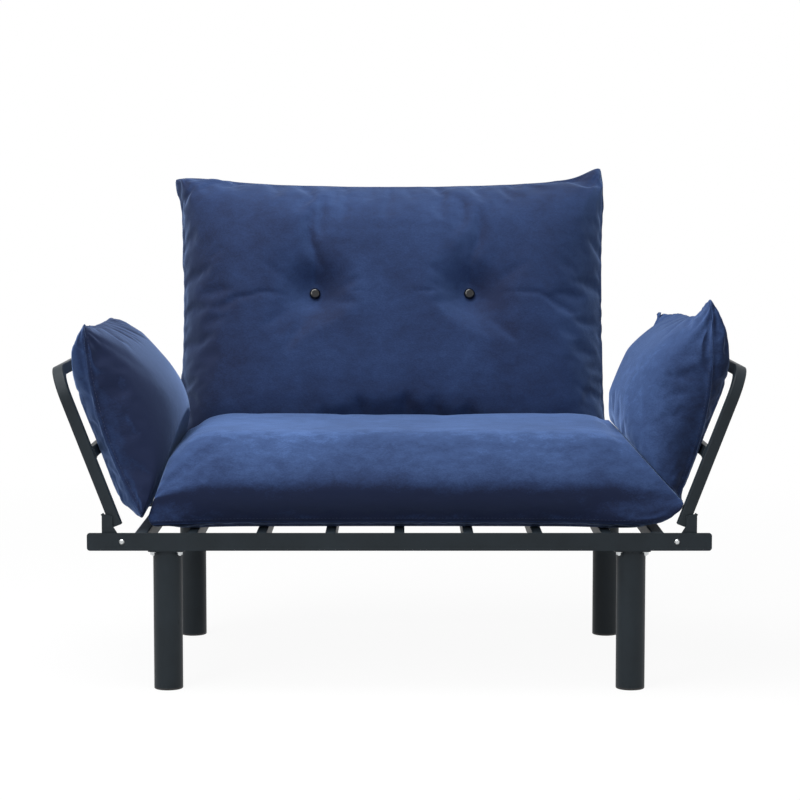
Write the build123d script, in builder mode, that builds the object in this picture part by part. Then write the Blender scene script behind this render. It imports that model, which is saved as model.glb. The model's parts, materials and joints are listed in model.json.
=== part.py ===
from build123d import *
import os
from math import cos, radians, sin, sqrt

os.makedirs("parts", exist_ok=True)

# Futon sofa bed: a steel angle base on four round legs, with two folding arm frames, a reclining back frame
# and loose stuffed cushions. X runs along the seat, the front faces -Y, Z is up, the floor is at zero.
# Driving dimensions are in millimetres and degrees.

# Base: two steel angles with a standing wall outside and a flange inwards at the bottom
base_length = 1220.0
base_depth = 660.0
rail_top = 314.0
rail_height = 35.0
rail_flange = 32.0
rail_wall = 3.0
rail_corner = 6.0

# Cross tubes that stand on the flanges and carry the seat
slat_count = 7
leg_bay = 100.0
slat_width = 20.0
end_tube_width = 25.0
end_tube_inset = 105.0
tube_wall = 1.5
tube_corner = 2.5

# Legs, their bolted top plates and foot caps
leg_diameter = 57.0
leg_wall = 1.5
leg_inset = 154.0
leg_setback = 39.0
leg_plate_size = 72.0
leg_plate_thickness = 3.0
leg_plate_corner = 8.0
leg_bolt_spacing = 52.0
mount_plate_edge = 17.0
foot_thickness = 4.0
foot_edge = 1.2
foot_plug_height = 14.0
foot_plug_wall = 2.0

# Fasteners
bolt_radius = 3.0
bolt_hole_gap = 0.2
bolt_tip = 2.0
hex_radius = 5.75
hex_head_height = 4.0
nut_height = 6.0
nut_flange_radius = 7.1
nut_flange_height = 1.3
button_head_radius = 5.25
button_head_rim = 1.2
button_head_dome = 2.0
button_head_slope = 40.0
socket_radius = 2.3
socket_depth = 1.8

# Bent square tube of the arm and back frames
bent_tube = 22.0
bend_radius = 55.0
tube_foot = 32.0
arm_lean = 21.0
arm_length = 364.0
arm_pivot_inset = 68.0
arm_crossbar_reach = 181.0
back_lean = 14.0
back_inset = 160.0
back_length = 600.0
back_crossbar_reaches = (210.0, 400.0)

# Click-stop hinges: a notched leaf turns on a bush round the pivot bolt, and a spring pawl drops into the notches
leaf_thickness = 4.0
hinge_gap = 0.6
lobe_radius = 17.0
notch_count = 5
notch_radius = 3.0
notch_depth = 2.0
bush_radius = 5.0
bush_running_gap = 0.05
bush_side_gap = 0.1
pawl_thickness = 1.2
pawl_width = 8.0
pawl_nose_gap = 0.5
pawl_bend_radius = 1.0
pawl_seat_top = 15.0
pawl_seat_foot = 8.0
pawl_tail_drop = 7.0
pawl_tail_lift = 3.0
arm_leaf_outer = 39.0
arm_leaf_width = 21.0
arm_leaf_top = 55.0
arm_leaf_top_slope = 5.0
arm_leaf_waist = 31.0
arm_leaf_heel = 8.0
leaf_edge_radius = 2.0
back_leaf_reach = 110.0
bracket_thickness = 4.0
bracket_base_thickness = 3.0
bracket_base_length = 44.0
bracket_ear_radius = 14.0

# Cushions: each swells from its flat base to the seam and on to its crown along two quarter ellipses
cushion_rest_gap = 0.3
base_steps = 4
seam_steps = 3
crown_steps = 6
padding = 11.0
hollow_corner = 24.0
ear_radius = 14.0
ear_spread = 0.25
ear_limit = 0.4
seam_draw_in = 14.0
crown_draw_in = 2.0
crease_gap = 8.0
seat_thickness = 181.0
seat_seam_level = 36.0
seat_base_run = 60.0
seat_front_run = 130.0
seat_end_run = 45.0
seat_front_edge = 4.0
arm_cushion_thickness = 166.0
arm_base_run = 60.0
arm_base_head_run = 150.0
arm_crown_run = 120.0
arm_crown_head_run = 190.0
left_arm_cushion_low = 28.0
left_arm_cushion_high = 424.0
left_arm_foot_seam = 41.0
left_arm_head_seam = 72.0
left_arm_foot_run = 170.0
right_arm_cushion_low = 58.0
right_arm_cushion_high = 456.0
right_arm_foot_seam = 14.0
right_arm_head_seam = 100.0
right_arm_foot_run = 120.0
arm_cushion_front_edge = 30.0
arm_cushion_rear_edge = 84.0
back_cushion_thickness = 170.0
back_seam_level = 67.0
back_base_run = 70.0
back_crown_run = 220.0
back_cushion_inset = 129.0
back_cushion_shift = -16.0
back_cushion_low = 38.0
back_cushion_high = 723.0

# Sewn tufts of the back cushion
tuft_spacing = 340.0
tuft_reach = 433.0
tuft_depth = 35.0
tuft_mouth_radius = 62.0
tuft_bow = 9.0
rear_tuft_depth = 10.0
rear_tuft_mouth_radius = 30.0
rear_tuft_bow = 3.0
button_radius = 12.0
button_seat_gap = 0.5
button_crown = 6.0
button_height = 8.0
twine_radius = 1.2
twine_gap = 0.6

# Heights and places worked out from the sizes above
rail_bottom = rail_top - rail_height
pivot_height = rail_bottom + rail_height / 2
flange_top = rail_bottom + rail_wall
cross_tube_height = rail_top - flange_top
leg_plate_bottom = rail_bottom - leg_plate_thickness
end_tube_x = base_length / 2 - end_tube_inset
end_tube_side = end_tube_x + end_tube_width / 2
outer_slat_x = end_tube_x - leg_bay
slat_pitch = 2 * outer_slat_x / (slat_count - 1)
leg_x = base_length / 2 - leg_inset
arm_pivot_x = base_length / 2 - arm_pivot_inset
pawl_seat = arm_pivot_x - end_tube_side
back_pivot_setback = pawl_seat + bracket_base_thickness
back_reach = back_pivot_setback + back_length * sin(radians(back_lean)) + bent_tube / 2 * cos(radians(back_lean))
button_head_height = button_head_rim + button_head_dome
base_middle_y = (button_head_height - back_reach) / 2
front_y = base_middle_y - base_depth / 2
rear_y = base_middle_y + base_depth / 2
back_pivot_y = rear_y + back_pivot_setback
back_width = base_length - 2 * back_inset
back_cushion_width = base_length - 2 * back_cushion_inset
back_upright_x = back_width / 2 - bent_tube / 2
hinge_stack = rail_wall + hinge_gap + leaf_thickness
arm_upright_y = base_depth / 2 - hinge_stack - bent_tube / 2
arm_fold_range = 90 - arm_lean
back_recline_range = 90 - back_lean
bolt_hole_radius = bolt_radius + bolt_hole_gap
sides = (("left", -1), ("right", 1))
ends = (("front", -1), ("rear", 1))


def save(piece, name):
    piece.part.label = name
    export_step(piece.part, f"parts/{name}.step")


def face_y(end):
    return base_middle_y + end * base_depth / 2


def leg_y(end):
    return face_y(end) - end * leg_setback


def tube_section(width, height):
    RectangleRounded(width, height, tube_corner)
    RectangleRounded(width - 2 * tube_wall, height - 2 * tube_wall, tube_corner - tube_wall, mode=Mode.SUBTRACT)


# Rails
def make_rail(end):
    face = Plane(origin=(0, face_y(end), pivot_height), x_dir=(1, 0, 0), z_dir=(0, -end, 0))
    with BuildPart() as rail:
        with BuildSketch(face):
            RectangleRounded(base_length, rail_height, rail_corner)
            with Locations((-arm_pivot_x, 0), (arm_pivot_x, 0)):
                Circle(bolt_hole_radius, mode=Mode.SUBTRACT)
        extrude(amount=rail_wall)
        with BuildSketch(Plane.XY.offset(rail_bottom)):
            with Locations((0, face_y(end) - end * rail_flange / 2)):
                Rectangle(2 * end_tube_side, rail_flange)
            with Locations((-leg_x, leg_y(end)), (leg_x, leg_y(end))):
                with GridLocations(leg_bolt_spacing, leg_bolt_spacing, 2, 2):
                    Circle(bolt_hole_radius, mode=Mode.SUBTRACT)
        extrude(amount=rail_wall)
    return rail


for end_name, end in ends:
    save(make_rail(end), f"{end_name}_rail")


# Slats and end tubes, from wall to wall on the flanges
def make_cross_tube(place_x, width):
    start = Plane(
        origin=(place_x, front_y + rail_wall, flange_top + cross_tube_height / 2), x_dir=(1, 0, 0), z_dir=(0, 1, 0)
    )
    with BuildPart() as tube:
        with BuildSketch(start):
            tube_section(width, cross_tube_height)
        extrude(amount=base_depth - 2 * rail_wall)
    return tube


for side_name, side in sides:
    save(make_cross_tube(side * end_tube_x, end_tube_width), f"{side_name}_end_tube")
for index in range(slat_count):
    save(make_cross_tube(index * slat_pitch - outer_slat_x, slat_width), f"slat_{index + 1}")


# Legs with welded top plates
def make_leg(side, end):
    with BuildPart() as leg:
        with BuildSketch(Plane.XY.offset(foot_thickness)):
            with Locations((side * leg_x, leg_y(end))):
                Circle(leg_diameter / 2)
                Circle(leg_diameter / 2 - leg_wall, mode=Mode.SUBTRACT)
        extrude(amount=leg_plate_bottom - foot_thickness)
        with BuildSketch(Plane.XY.offset(leg_plate_bottom)):
            with Locations((side * leg_x, leg_y(end))):
                RectangleRounded(leg_plate_size, leg_plate_size, leg_plate_corner)
                with GridLocations(leg_bolt_spacing, leg_bolt_spacing, 2, 2):
                    Circle(bolt_hole_radius, mode=Mode.SUBTRACT)
        extrude(amount=leg_plate_thickness)
    return leg


leg_places = [(side * leg_x, leg_y(end)) for _, side in sides for _, end in ends]
for side_name, side in sides:
    for end_name, end in ends:
        save(make_leg(side, end), f"{end_name}_{side_name}_leg")

with BuildPart() as foot_caps:
    with BuildSketch():
        with Locations(*leg_places):
            Circle(leg_diameter / 2)
    extrude(amount=foot_thickness)
    chamfer(foot_caps.edges().group_by(Axis.Z)[0], foot_edge)
    with BuildSketch(Plane.XY.offset(foot_thickness)):
        with Locations(*leg_places):
            Circle(leg_diameter / 2 - leg_wall)
            Circle(leg_diameter / 2 - leg_wall - foot_plug_wall, mode=Mode.SUBTRACT)
    extrude(amount=foot_plug_height)
save(foot_caps, "foot_caps")

# Plates level with the flanges, which carry the inner pair of bolts of each leg
mount_plate_depth = leg_setback + leg_bolt_spacing / 2 + mount_plate_edge - rail_flange
with BuildPart() as leg_mount_plates:
    with BuildSketch(Plane.XY.offset(rail_bottom)):
        for _, side in sides:
            for _, end in ends:
                middle_y = face_y(end) - end * (rail_flange + mount_plate_depth / 2)
                with Locations((side * (end_tube_x + outer_slat_x) / 2, middle_y)):
                    Rectangle(leg_bay, mount_plate_depth)
        with Locations(*leg_places):
            with GridLocations(leg_bolt_spacing, leg_bolt_spacing, 2, 2):
                Circle(bolt_hole_radius, mode=Mode.SUBTRACT)
    extrude(amount=rail_wall)
save(leg_mount_plates, "leg_mount_plates")

# Leg bolts with their heads on the flange, and flange nuts under the leg plate
leg_bolt_length = rail_wall + leg_plate_thickness + nut_height + bolt_tip
with BuildPart() as leg_bolts:
    with BuildSketch(Plane.XY.offset(flange_top)):
        with Locations(*leg_places):
            with GridLocations(leg_bolt_spacing, leg_bolt_spacing, 2, 2):
                RegularPolygon(hex_radius, 6)
    extrude(amount=hex_head_height)
    with BuildSketch(Plane.XY.offset(flange_top)):
        with Locations(*leg_places):
            with GridLocations(leg_bolt_spacing, leg_bolt_spacing, 2, 2):
                Circle(bolt_radius)
    extrude(amount=-leg_bolt_length)
save(leg_bolts, "leg_bolts")

with BuildPart() as leg_nuts:
    with BuildSketch(Plane.XY.offset(leg_plate_bottom)):
        with Locations(*leg_places):
            with GridLocations(leg_bolt_spacing, leg_bolt_spacing, 2, 2):
                Circle(nut_flange_radius)
                Circle(bolt_radius, mode=Mode.SUBTRACT)
    extrude(amount=-nut_flange_height)
    with BuildSketch(Plane.XY.offset(leg_plate_bottom - nut_flange_height)):
        with Locations(*leg_places):
            with GridLocations(leg_bolt_spacing, leg_bolt_spacing, 2, 2):
                RegularPolygon(hex_radius, 6)
                Circle(bolt_radius, mode=Mode.SUBTRACT)
    extrude(amount=nut_flange_height - nut_height)
save(leg_nuts, "leg_nuts")


# Pivot bolts, nuts and bushes: a seat is the plane under the bolt's head, facing out
def make_pivot_bolts(seats, grip):
    with BuildPart() as bolts:
        for seat in seats:
            with BuildSketch(seat):
                Circle(button_head_radius)
            extrude(amount=button_head_rim)
            with BuildSketch(seat.offset(button_head_rim)):
                Circle(button_head_radius)
            extrude(amount=button_head_dome, taper=button_head_slope)
            with BuildSketch(seat.offset(button_head_height)):
                RegularPolygon(socket_radius, 6)
            extrude(amount=-socket_depth, mode=Mode.SUBTRACT)
            with BuildSketch(seat):
                Circle(bolt_radius)
            extrude(amount=-(grip + nut_height + bolt_tip))
    return bolts


def make_pivot_nuts(seats, grip):
    with BuildPart() as nuts:
        for seat in seats:
            with BuildSketch(seat.offset(-grip)):
                RegularPolygon(hex_radius, 6)
                Circle(bolt_radius, mode=Mode.SUBTRACT)
            extrude(amount=-nut_height)
    return nuts


def make_bushes(seats, wall):
    with BuildPart() as bushes:
        for seat in seats:
            with BuildSketch(seat.offset(-wall - bush_side_gap)):
                Circle(bush_radius)
                Circle(bolt_radius + bush_running_gap, mode=Mode.SUBTRACT)
            extrude(amount=-(leaf_thickness + 2 * hinge_gap - 2 * bush_side_gap))
    return bushes


# Hinge leaves: in their sketches X points away from the pawl and Y points up, with the pivot at zero
def cut_notches(travel):
    step = travel / (notch_count - 1)
    reach = lobe_radius + notch_radius - notch_depth
    for index in range(notch_count):
        angle = radians(180 + index * step)
        with Locations((reach * cos(angle), reach * sin(angle))):
            Circle(notch_radius, mode=Mode.SUBTRACT)
    Circle(bush_radius, mode=Mode.SUBTRACT)


def make_pawls(planes):
    back_x = pawl_thickness / 2 - pawl_seat
    nose_x = notch_depth - lobe_radius - pawl_nose_gap - pawl_thickness / 2
    with BuildPart() as pawls:
        for plane in planes:
            with BuildSketch(plane):
                with BuildLine():
                    FilletPolyline(
                        (back_x, pawl_seat_top),
                        (back_x, pawl_seat_foot),
                        (nose_x, 0),
                        (back_x + pawl_tail_lift, -pawl_tail_drop),
                        radius=pawl_bend_radius,
                    )
                trace(line_width=pawl_thickness)
            extrude(amount=pawl_width / 2, both=True)
    return pawls


# Arm hinges, at both ends of each rail
arm_grip = rail_wall + leaf_thickness + 2 * hinge_gap
arm_seats = {
    (side, end): Plane(
        origin=(side * arm_pivot_x, face_y(end), pivot_height), x_dir=(1, 0, 0), z_dir=(0, end, 0)
    )
    for _, side in sides
    for _, end in ends
}


def arm_hinge_plane(side, end, depth):
    origin = (side * arm_pivot_x, face_y(end) - end * depth, pivot_height)
    return Plane(origin=origin, x_dir=(side, 0, 0), z_dir=(0, -side, 0))


def make_arm_leaf(side, end):
    inner = arm_leaf_outer - arm_leaf_width
    toe = sqrt(lobe_radius**2 - arm_leaf_heel**2)
    with BuildPart() as leaf:
        with BuildSketch(arm_hinge_plane(side, end, rail_wall + hinge_gap)):
            with BuildLine():
                FilletPolyline(
                    (arm_leaf_heel, toe),
                    (inner, arm_leaf_waist),
                    (inner, arm_leaf_top - arm_leaf_top_slope),
                    (arm_leaf_outer, arm_leaf_top),
                    (arm_leaf_outer, arm_leaf_heel),
                    (lobe_radius * sqrt(0.5), -lobe_radius * sqrt(0.5)),
                    (0, 0),
                    radius=leaf_edge_radius,
                    close=True,
                )
            make_face()
            Circle(lobe_radius)
            cut_notches(arm_fold_range)
        extrude(amount=side * end * leaf_thickness)
    return leaf


save(make_pivot_bolts(arm_seats.values(), arm_grip), "arm_pivot_bolts")
save(make_pivot_nuts(arm_seats.values(), arm_grip), "arm_pivot_nuts")
pawl_middle = rail_wall + hinge_gap + pawl_width / 2
for side_name, side in sides:
    save(make_bushes([arm_seats[side, end] for _, end in ends], rail_wall), f"{side_name}_arm_bushes")
    save(make_pawls([arm_hinge_plane(side, end, pawl_middle) for _, end in ends]), f"{side_name}_arm_pawls")
    for end_name, end in ends:
        save(make_arm_leaf(side, end), f"{side_name}_arm_{end_name}_leaf")


# Bent frames: a plane lies in the frame's middle, X across it, Y along its uprights, from the pivot's height
def make_bent_frame(plane, half_span, reach):
    with BuildPart() as frame:
        with BuildLine(plane) as route:
            FilletPolyline(
                (-half_span, tube_foot),
                (-half_span, reach - bent_tube / 2),
                (half_span, reach - bent_tube / 2),
                (half_span, tube_foot),
                radius=bend_radius,
            )
        with BuildSketch(Plane(origin=route.line @ 0, x_dir=plane.x_dir, z_dir=route.line % 0)):
            tube_section(bent_tube, bent_tube)
        sweep(path=route.line)
    return frame


def make_crossbar(plane, half_span, reach):
    start = plane.from_local_coords((bent_tube / 2 - half_span, reach, 0))
    with BuildPart() as bar:
        with BuildSketch(Plane(origin=start, x_dir=plane.y_dir, z_dir=plane.x_dir)):
            tube_section(bent_tube, bent_tube)
        extrude(amount=2 * half_span - bent_tube)
    return bar


def arm_plane(side, middle_y=base_middle_y):
    lean = radians(arm_lean)
    origin = (side * arm_pivot_x, middle_y, pivot_height)
    return Plane(origin=origin, x_dir=(0, -side, 0), z_dir=(-side * cos(lean), 0, sin(lean)))


for side_name, side in sides:
    save(make_bent_frame(arm_plane(side), arm_upright_y, arm_length), f"{side_name}_arm_tube")
    save(make_crossbar(arm_plane(side), arm_upright_y, arm_crossbar_reach), f"{side_name}_arm_crossbar")

back_plane = Plane(
    origin=(0, back_pivot_y, pivot_height),
    x_dir=(1, 0, 0),
    z_dir=(0, -cos(radians(back_lean)), sin(radians(back_lean))),
)
save(make_bent_frame(back_plane, back_upright_x, back_length), "back_tube")
for name, reach in zip(("lower", "upper"), back_crossbar_reaches):
    save(make_crossbar(back_plane, back_upright_x, reach), f"back_{name}_crossbar")

# Back hinges: brackets on the rear rail, leaves on the outer sides of the back frame
back_leaf_x = back_width / 2
ear_x = back_leaf_x + leaf_thickness + hinge_gap
back_grip = bracket_thickness + leaf_thickness + 2 * hinge_gap
back_seats = {
    side: Plane(
        origin=(side * (ear_x + bracket_thickness), back_pivot_y, pivot_height), x_dir=(0, 1, 0), z_dir=(side, 0, 0)
    )
    for _, side in sides
}


def back_hinge_plane(side, place_x):
    return Plane(origin=(side * place_x, back_pivot_y, pivot_height), x_dir=(0, 1, 0), z_dir=(1, 0, 0))


def make_back_bracket(side):
    base_middle = side * (ear_x + bracket_thickness - bracket_base_length / 2)
    with BuildPart() as bracket:
        wall = Plane(origin=(base_middle, rear_y, pivot_height), x_dir=(1, 0, 0), z_dir=(0, 1, 0))
        with BuildSketch(wall):
            Rectangle(bracket_base_length, rail_height)
        extrude(amount=bracket_base_thickness)
        with BuildSketch(back_hinge_plane(side, ear_x)):
            with BuildLine():
                Polyline(
                    (-back_pivot_setback, rail_height / 2),
                    (0, bracket_ear_radius),
                    (0, -bracket_ear_radius),
                    (-back_pivot_setback, -rail_height / 2),
                    close=True,
                )
            make_face()
            Circle(bracket_ear_radius)
            Circle(bolt_hole_radius, mode=Mode.SUBTRACT)
        extrude(amount=side * bracket_thickness)
    return bracket


def make_back_leaf(side):
    lean = radians(back_lean)
    tip = (back_leaf_reach / 2 * sin(lean), back_leaf_reach / 2 * cos(lean))
    with BuildPart() as leaf:
        with BuildSketch(back_hinge_plane(side, back_leaf_x)):
            Circle(lobe_radius)
            with Locations(Location((*tip, 0), -back_lean)):
                RectangleRounded(bent_tube, back_leaf_reach, leaf_edge_radius)
            cut_notches(back_recline_range)
        extrude(amount=side * leaf_thickness)
    return leaf


save(make_pivot_bolts(back_seats.values(), back_grip), "back_pivot_bolts")
save(make_pivot_nuts(back_seats.values(), back_grip), "back_pivot_nuts")
save(make_bushes(back_seats.values(), bracket_thickness), "back_bushes")
pawl_middle_x = back_leaf_x + leaf_thickness - pawl_width / 2
save(make_pawls([back_hinge_plane(side, pawl_middle_x) for _, side in sides]), "back_pawls")
for side_name, side in sides:
    save(make_back_bracket(side), f"{side_name}_back_bracket")
    save(make_back_leaf(side), f"{side_name}_back_leaf")


# Cushions: forms through stacked outlines, with sides drawn in between pointed corners
def level_heights(foot_seam, head_seam, top):
    """Heights through the thickness of a cushion whose seam rises from its foot to its head."""
    base = [foot_seam * (1 - cos(radians(90 * step / base_steps))) for step in range(base_steps)]
    between = [foot_seam + (head_seam - foot_seam) * step / seam_steps for step in range(seam_steps)]
    crown = [head_seam + (top - head_seam) * sin(radians(90 * step / crown_steps)) for step in range(crown_steps + 1)]
    return base + (between if head_seam > foot_seam else []) + crown


def drawn_in(height, top, seam, base_run, crown_run):
    """How far a side is drawn in from its seam at a height: a quarter ellipse below the seam and one above it."""
    if height < seam:
        share, run = (seam - height) / seam, base_run
    else:
        share, run = (height - seam) / (top - seam), crown_run
    return run * (1 - sqrt(max(0, 1 - share**2)))


def outline_arcs(left, right, low, high, inset):
    corner = min(ear_radius + ear_spread * inset, ear_limit * (high - low), ear_limit * (right - left))
    cut = corner * (1 - sqrt(0.5))
    draw = max(seam_draw_in - inset / 10, crown_draw_in)
    centre, middle = (left + right) / 2, (low + high) / 2
    starts = (
        (left + corner, low),
        (right - corner, low),
        (right, low + corner),
        (right, high - corner),
        (right - corner, high),
        (left + corner, high),
        (left, high - corner),
        (left, low + corner),
    )
    passes = (
        (centre, low + draw),
        (right - cut, low + cut),
        (right - draw, middle),
        (right - cut, high - cut),
        (centre, high - draw),
        (left + cut, high - cut),
        (left + draw, middle),
        (left + cut, low + cut),
    )
    return zip(starts, passes, starts[1:] + starts[:1])


def pillow_outlines(top, seams, base_runs, crown_runs, side_runs, half_width, low, high):
    """Outlines of a pillow, with the seam levels and runs at its foot and head, and the runs at its sides."""
    outlines = []
    for height in level_heights(*seams, top):
        foot, head = (drawn_in(height, top, *rule) for rule in zip(seams, base_runs, crown_runs))
        side = drawn_in(height, top, sum(seams) / 2, *side_runs)
        outlines.append((height, side - half_width, half_width - side, low + foot, high - head, side))
    return outlines


def make_tuft_cuts(plane, tuft, top):
    seat = button_radius + button_seat_gap
    centre = plane.from_local_coords((*tuft, 0))
    with BuildPart() as cuts:
        for surface, rise, mouth, depth, bow in (
            (top, 1, tuft_mouth_radius, tuft_depth, tuft_bow),
            (0, -1, rear_tuft_mouth_radius, rear_tuft_depth, rear_tuft_bow),
        ):
            floor = surface - rise * depth
            over = surface + rise * depth
            run = mouth - seat
            chord = sqrt(run**2 + depth**2)
            middle = ((seat + mouth) / 2 - bow * depth / chord, (floor + surface) / 2 + rise * bow * run / chord)
            with BuildSketch(Plane(origin=centre, x_dir=plane.x_dir, z_dir=-plane.y_dir)):
                with BuildLine():
                    ThreePointArc((seat, floor), middle, (mouth, surface))
                    Polyline((mouth, surface), (mouth, over), (0, over), (0, floor), (seat, floor))
                make_face()
            revolve(axis=Axis(centre, plane.z_dir))
        with BuildSketch(plane):
            with Locations(tuft):
                Circle(twine_radius + twine_gap)
        extrude(amount=top)
    return cuts.part


def make_cushion(plane, outlines, tufts=()):
    top = outlines[-1][0]
    hollow = [outline for outline in outlines if padding <= outline[0] <= top - padding][::2]
    with BuildPart() as cushion:
        for height, *edges in outlines:
            with BuildSketch(plane.offset(height)):
                with BuildLine():
                    for start, through, stop in outline_arcs(*edges):
                        ThreePointArc(start, through, stop)
                make_face()
        loft(ruled=True)
        for lower, upper in zip(hollow, hollow[1:]):
            left, low = (max(lower[i], upper[i]) + seam_draw_in + padding for i in (1, 3))
            right, high = (min(lower[i], upper[i]) - seam_draw_in - padding for i in (2, 4))
            with BuildSketch(plane.offset(lower[0])):
                with Locations(((left + right) / 2, (low + high) / 2)):
                    RectangleRounded(right - left, high - low, hollow_corner)
                with Locations(*tufts):
                    Circle(tuft_mouth_radius + padding, mode=Mode.SUBTRACT)
            extrude(amount=upper[0] - lower[0], mode=Mode.SUBTRACT)
        for tuft in tufts:
            add(make_tuft_cuts(plane, tuft, top), mode=Mode.SUBTRACT)
    return cushion


frame_face = bent_tube / 2 + cushion_rest_gap
arm_cushion_rear = back_pivot_y - back_pivot_setback - arm_cushion_rear_edge
arm_cushion_front = front_y + arm_cushion_front_edge
arm_half_width = (arm_cushion_rear - arm_cushion_front) / 2
arm_shapes = {
    "left": ((left_arm_foot_seam, left_arm_head_seam), left_arm_foot_run, left_arm_cushion_low, left_arm_cushion_high),
    "right": (
        (right_arm_foot_seam, right_arm_head_seam),
        right_arm_foot_run,
        right_arm_cushion_low,
        right_arm_cushion_high,
    ),
}


# The seat's ends and rear follow the creases against the arm and back cushions
def crease(outlines, seam, lean):
    points = []
    for height, _, _, low, _, _ in outlines:
        if height >= seam:
            depth = frame_face + height
            rise = pivot_height + low * cos(lean) + depth * sin(lean)
            points.append((rise, low * sin(lean) - depth * cos(lean)))
    return points


def reach_at(points, height):
    for lower, upper in zip(points, points[1:]):
        if lower[0] <= height <= upper[0]:
            return lower[1] + (height - lower[0]) / (upper[0] - lower[0]) * (upper[1] - lower[1])
    return points[0][1] if height < points[0][0] else points[-1][1]


# The arm cushions lie a little differently, as the seat's ends push under them
arm_creases = {}
for side_name, side in sides:
    seams, foot_run, low, high = arm_shapes[side_name]
    arm_outlines = pillow_outlines(
        arm_cushion_thickness,
        seams,
        (arm_base_run, arm_base_head_run),
        (foot_run, arm_crown_head_run),
        (arm_base_run, arm_crown_run),
        arm_half_width,
        low,
        high,
    )
    arm_creases[side_name] = crease(arm_outlines, seams[0], radians(arm_lean))
    plane = arm_plane(side, (arm_cushion_rear + arm_cushion_front) / 2).offset(frame_face)
    save(make_cushion(plane, arm_outlines), f"{side_name}_arm_cushion")

back_outlines = pillow_outlines(
    back_cushion_thickness,
    (back_seam_level, back_seam_level),
    (back_base_run, back_base_run),
    (back_crown_run, back_crown_run),
    (back_base_run, back_crown_run),
    back_cushion_width / 2,
    back_cushion_low,
    back_cushion_high,
)
back_crease = crease(back_outlines, back_seam_level, radians(back_lean))
seat_bottom = rail_top + cushion_rest_gap
seat_outlines = []
for height in level_heights(seat_seam_level, seat_seam_level, seat_thickness):
    front_inset, end_inset = (
        drawn_in(height, seat_thickness, seat_seam_level, seat_base_run, run) for run in (seat_front_run, seat_end_run)
    )
    left, right = (
        side * (arm_pivot_x + reach_at(arm_creases[side_name], seat_bottom + height) - crease_gap - end_inset)
        for side_name, side in sides
    )
    front = front_y + seat_front_edge + front_inset
    rear = back_pivot_y + reach_at(back_crease, seat_bottom + height) - crease_gap - end_inset
    seat_outlines.append((height, left, right, front, rear, front_inset))
save(make_cushion(Plane.XY.offset(seat_bottom), seat_outlines), "seat_cushion")

# The back cushion, its tuft buttons in front and behind, and the twine that draws each pair together
back_cushion_plane = Plane(
    origin=back_plane.from_local_coords((back_cushion_shift, 0, frame_face)),
    x_dir=back_plane.x_dir,
    z_dir=back_plane.z_dir,
)
tuft_places = [(side * tuft_spacing / 2, tuft_reach) for _, side in sides]
save(make_cushion(back_cushion_plane, back_outlines, tuft_places), "back_cushion")


def make_buttons(seat_level, rise):
    seat = back_cushion_plane.offset(seat_level)
    with BuildPart() as buttons:
        with BuildSketch(seat):
            with Locations(*tuft_places):
                Circle(button_radius)
        extrude(amount=rise * button_height)
        crowns = buttons.edges().sort_by(Axis(seat.origin, rise * seat.z_dir))[-len(tuft_places):]
        fillet(crowns, button_crown)
    return buttons


save(make_buttons(back_cushion_thickness - tuft_depth, 1), "front_tuft_buttons")
save(make_buttons(rear_tuft_depth, -1), "rear_tuft_buttons")

with BuildPart() as tuft_twines:
    with BuildSketch(back_cushion_plane.offset(rear_tuft_depth)):
        with Locations(*tuft_places):
            Circle(twine_radius)
    extrude(amount=back_cushion_thickness - tuft_depth - rear_tuft_depth)
save(tuft_twines, "tuft_twines")
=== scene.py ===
import json
import math

import bmesh
import bpy
import numpy as np
from mathutils import Matrix, Vector
from mathutils.bvhtree import BVHTree


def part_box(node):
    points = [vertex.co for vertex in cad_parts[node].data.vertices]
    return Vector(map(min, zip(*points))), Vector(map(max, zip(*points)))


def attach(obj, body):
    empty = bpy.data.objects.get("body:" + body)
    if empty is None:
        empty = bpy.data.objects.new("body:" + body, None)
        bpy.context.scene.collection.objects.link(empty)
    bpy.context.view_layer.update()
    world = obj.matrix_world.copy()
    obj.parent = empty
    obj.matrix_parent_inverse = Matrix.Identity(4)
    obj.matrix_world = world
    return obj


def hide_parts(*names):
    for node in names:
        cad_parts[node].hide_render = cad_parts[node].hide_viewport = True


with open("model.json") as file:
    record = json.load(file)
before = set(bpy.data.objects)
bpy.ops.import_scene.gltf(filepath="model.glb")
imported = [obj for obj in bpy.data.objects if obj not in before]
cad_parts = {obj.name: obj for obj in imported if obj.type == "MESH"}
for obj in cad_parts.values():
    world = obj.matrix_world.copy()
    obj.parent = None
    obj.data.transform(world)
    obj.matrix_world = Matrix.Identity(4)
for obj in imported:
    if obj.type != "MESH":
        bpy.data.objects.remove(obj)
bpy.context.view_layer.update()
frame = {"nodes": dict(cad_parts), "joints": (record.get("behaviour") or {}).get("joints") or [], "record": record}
scene = bpy.context.scene
nodes = frame["nodes"]
pivots = {joint["name"]: Vector(joint["pos_m"]) for joint in frame["joints"]}


# helpers for shader nodes

def linear(hexColour):
    parts = [int(hexColour[i:i + 2], 16) / 255 for i in (1, 3, 5)]
    return tuple(p / 12.92 if p <= 0.04045 else ((p + 0.055) / 1.055) ** 2.4 for p in parts) + (1,)


def addNode(tree, kind, inputs=None, **settings):
    node = tree.nodes.new(kind)
    for name, value in settings.items():
        setattr(node, name, value)
    for name, value in (inputs or {}).items():
        if isinstance(value, bpy.types.NodeSocket):
            tree.links.new(value, node.inputs[name])
        else:
            node.inputs[name].default_value = value
    return node


def newMaterial(name):
    # an empty material, its tree, and the coordinates that its patterns are drawn in
    material = bpy.data.materials.new(name)
    material.use_nodes = True
    tree = material.node_tree
    tree.nodes.clear()
    return material, tree, addNode(tree, "ShaderNodeTexCoord").outputs["Object"]


def maths(tree, operation, *values):
    return addNode(tree, "ShaderNodeMath", dict(enumerate(values)), operation=operation).outputs[0]


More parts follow.
